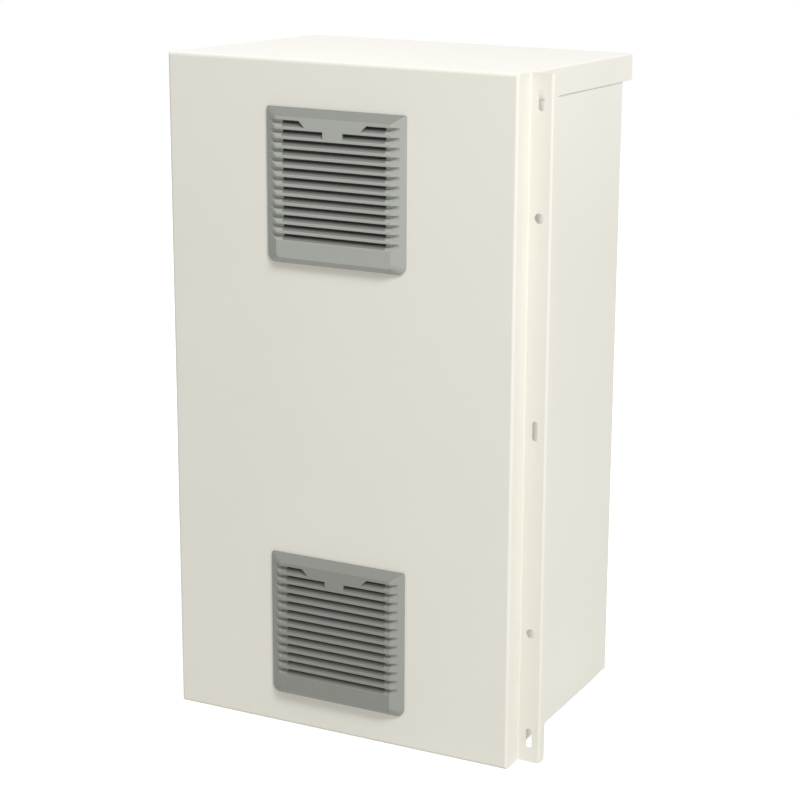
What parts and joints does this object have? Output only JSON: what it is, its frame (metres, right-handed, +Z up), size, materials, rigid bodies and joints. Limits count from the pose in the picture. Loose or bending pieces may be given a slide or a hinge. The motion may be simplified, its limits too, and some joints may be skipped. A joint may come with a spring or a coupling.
{
  "type": "roadside utility cabinet",
  "caption": "Freestanding steel cabinet with a louvred vent panel, a slotted mounting flange, an overhanging rain hood and a hinged door behind.",
  "frame": {"origin": "on the ground, centre of the pattern of anchor holes in the base rails", "axes": "+Z up, -Y out of the vented rear face, +Y out of the door, +X towards the side with the mounting flange"},
  "size_m": [0.679, 0.487, 1.15],
  "materials": {
    "shell_paint": "pale warm grey polyester powder coat on folded steel sheet, fine orange peel",
    "galvanised_steel": "hot-dip galvanised steel sheet with a faint spangle",
    "zinc_fastener": "bright zinc-plated steel",
    "turned_steel": "zinc-plated turned and stamped steel",
    "hinge_casting": "die-cast zinc, powder coated pale grey",
    "handle_casting": "die-cast zinc, satin black powder coat",
    "zinc_casting": "nickel-plated die-cast zinc",
    "seal_foam": "black foamed sealing strip",
    "plug_rubber": "moulded black rubber",
    "vent_plastic": "injection-moulded grey ABS, fine spark-eroded texture",
    "filter_fleece": "needled grey polyester fleece",
    "fan_casting": "die-cast aluminium, black coated",
    "fan_plastic": "glass-filled black plastic",
    "copper_bar": "bare rolled copper bar, lightly dulled",
    "brass_screw": "turned brass screws"
  },
  "bodies": {
    "cabinet": {"rear_panel": "shell_paint", "side_wall_left": "shell_paint", "side_wall_right": "shell_paint", "roof_panel": "shell_paint", "floor_pan": "shell_paint", "roof_hood": "shell_paint", "base_rail_left": "galvanised_steel", "base_rail_right": "galvanised_steel", "cable_entry_plate": "galvanised_steel", "side_member_left_lower": "galvanised_steel", "side_member_left_upper": "galvanised_steel", "side_member_right_lower": "galvanised_steel", "side_member_right_upper": "galvanised_steel", "rack_rail_left": "galvanised_steel", "rack_rail_right": "galvanised_steel", "rear_panel_nuts": "zinc_fastener", "roof_hood_nuts": "zinc_fastener", "entry_plate_screws": "zinc_fastener", "fan_screws": "zinc_fastener", "rail_bolts": "zinc_fastener", "frame_hinge_screws": "zinc_fastener", "frame_hinge_lower": "hinge_casting", "frame_hinge_middle": "hinge_casting", "frame_hinge_upper": "hinge_casting", "hinge_pin_lower": "turned_steel", "hinge_pin_middle": "turned_steel", "hinge_pin_upper": "turned_steel", "rear_panel_seal": "seal_foam", "vent_seal_upper": "seal_foam", "vent_seal_lower": "seal_foam", "vent_housing_upper": "vent_plastic", "vent_housing_lower": "vent_plastic", "filter_mat_upper": "filter_fleece", "filter_mat_lower": "filter_fleece", "fan_frame": "fan_casting", "blanking_plugs": "plug_rubber", "earth_bar": "copper_bar", "earth_bar_screws": "brass_screw", "earth_bar_posts": "zinc_fastener"},
    "door": {"door_panel": "shell_paint", "door_seal": "seal_foam", "door_stiffeners": "shell_paint", "door_hinge_lower": "hinge_casting", "door_hinge_middle": "hinge_casting", "door_hinge_upper": "hinge_casting", "door_hinge_screws": "zinc_fastener", "handle_plate": "handle_casting", "latch_bezel_upper": "handle_casting", "latch_bezel_lower": "handle_casting"},
    "handle": {"door_handle": "handle_casting", "handle_spindle": "turned_steel", "handle_cam": "turned_steel"},
    "latch_upper": {"latch_core_upper": "zinc_casting", "latch_cam_upper": "turned_steel"},
    "latch_lower": {"latch_core_lower": "zinc_casting", "latch_cam_lower": "turned_steel"},
    "cover_upper": {"vent_cover_upper": "vent_plastic"},
    "cover_lower": {"vent_cover_lower": "vent_plastic"},
    "impeller": {"fan_impeller": "fan_plastic"}
  },
  "joints": [
    {"name": "door_swing", "type": "hinge", "parent": "cabinet", "child": "door", "pos_m": [-0.286, 0.225, 0.567], "axis": [0, 0, 1], "range_deg": [0, 120]},
    {"name": "handle_turn", "type": "hinge", "parent": "door", "child": "handle", "pos_m": [0.24, 0.23, 0.567], "axis": [0, 1, 0], "range_deg": [0, 90]},
    {"name": "latch_upper_turn", "type": "hinge", "parent": "door", "child": "latch_upper", "pos_m": [0.24, 0.217, 0.935], "axis": [0, -1, 0], "range_deg": [0, 90]},
    {"name": "latch_lower_turn", "type": "hinge", "parent": "door", "child": "latch_lower", "pos_m": [0.24, 0.217, 0.199], "axis": [0, -1, 0], "range_deg": [0, 90]},
    {"name": "cover_upper_tilt", "type": "hinge", "parent": "cabinet", "child": "cover_upper", "pos_m": [0, -0.2198, 0.8205], "axis": [1, 0, 0], "range_deg": [0, 80]},
    {"name": "cover_lower_tilt", "type": "hinge", "parent": "cabinet", "child": "cover_lower", "pos_m": [0, -0.2198, 0.0595], "axis": [1, 0, 0], "range_deg": [0, 80]},
    {"name": "fan_spin", "type": "hinge", "parent": "cabinet", "child": "impeller", "pos_m": [0, -0.16, 0.185], "axis": [0, 1, 0], "continuous": true}
  ]
}
